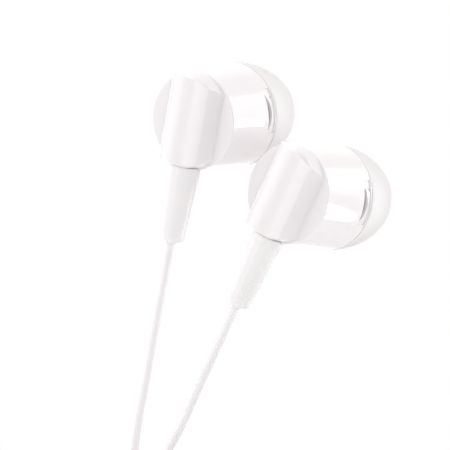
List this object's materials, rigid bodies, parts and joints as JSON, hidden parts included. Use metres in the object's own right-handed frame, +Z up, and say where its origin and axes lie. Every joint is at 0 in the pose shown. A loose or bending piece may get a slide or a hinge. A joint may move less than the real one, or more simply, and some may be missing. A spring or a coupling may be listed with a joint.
{
  "type": "wired earphones",
  "caption": "White wired in-ear earphones: drum-shaped buds with a crowned back bar, side vent, silicone tips and tapered boots on thin leads, coiled cable and a straight stereo plug.",
  "frame": {"origin": "middle of the footprint, on the plane the coiled cable rests on", "axes": "+Z up, +X to the right and +Y to the back as seen from the side that shows the backs of both buds; the plug points along -Y"},
  "size_m": [0.0498, 0.0464, 0.0641],
  "materials": {
    "housing": "glossy moulded ABS, white",
    "silicone": "soft translucent silicone, satin",
    "boot": "satin thermoplastic elastomer, white",
    "cable": "smooth PVC jacket, pale grey-white",
    "mesh": "fine woven steel mesh",
    "driver_plastic": "moulded plastic, black",
    "steel": "zinc-plated pressed steel",
    "magnet": "nickel-plated magnet",
    "copper": "enamelled copper winding",
    "membrane": "thin polyester film",
    "damper": "non-woven damping paper",
    "board": "solder-masked circuit board",
    "wire": "enamelled conductor",
    "contact": "nickel-plated brass",
    "insulator": "moulded insulating ring"
  },
  "bodies": {
    "harness": {"left_lead": "cable", "right_lead": "cable", "y_splitter": "boot", "common_cable": "cable", "plug_grip": "boot", "plug_core": "driver_plastic", "plug_sleeve": "contact", "plug_rear_insulator": "insulator", "plug_ring": "contact", "plug_front_insulator": "insulator", "plug_tip": "contact"},
    "left_bud": {"left_back_shell": "housing", "left_front_shell": "housing", "left_vent_mesh": "mesh", "left_nozzle_mesh": "mesh", "left_driver_frame": "driver_plastic", "left_driver_yoke": "steel", "left_driver_magnet": "magnet", "left_pole_plate": "steel", "left_voice_coil": "copper", "left_diaphragm": "membrane", "left_driver_cover": "steel", "left_rear_damper": "damper", "left_terminal_board": "board", "left_lead_wires": "wire", "left_boot": "boot", "left_lead_end": "cable"},
    "left_tip": {"left_ear_tip": "silicone"},
    "right_bud": {"right_back_shell": "housing", "right_front_shell": "housing", "right_vent_mesh": "mesh", "right_nozzle_mesh": "mesh", "right_driver_frame": "driver_plastic", "right_driver_yoke": "steel", "right_driver_magnet": "magnet", "right_pole_plate": "steel", "right_voice_coil": "copper", "right_diaphragm": "membrane", "right_driver_cover": "steel", "right_rear_damper": "damper", "right_terminal_board": "board", "right_lead_wires": "wire", "right_boot": "boot", "right_lead_end": "cable"},
    "right_tip": {"right_ear_tip": "silicone"}
  },
  "joints": [
    {"name": "left_bud_flex", "type": "hinge", "parent": "harness", "child": "left_bud", "pos_m": [-0.01759, -0.00547, 0.04126], "axis": [-0.7983, 0.5306, 0.2849], "range_deg": [-25, 25], "stiffness_Nm_per_rad": 0.05},
    {"name": "left_tip_pull", "type": "slide", "parent": "left_bud", "child": "left_tip", "axis": [0.5764, 0.8103, 0.1059], "range_m": [0, 0.006]},
    {"name": "right_bud_flex", "type": "hinge", "parent": "harness", "child": "right_bud", "pos_m": [-0.00974, -0.00874, 0.03355], "axis": [-0.6849, 0.5483, 0.48], "range_deg": [-25, 25], "stiffness_Nm_per_rad": 0.05},
    {"name": "right_tip_pull", "type": "slide", "parent": "right_bud", "child": "right_tip", "axis": [0.6107, 0.7912, -0.0324], "range_m": [0, 0.006]}
  ]
}
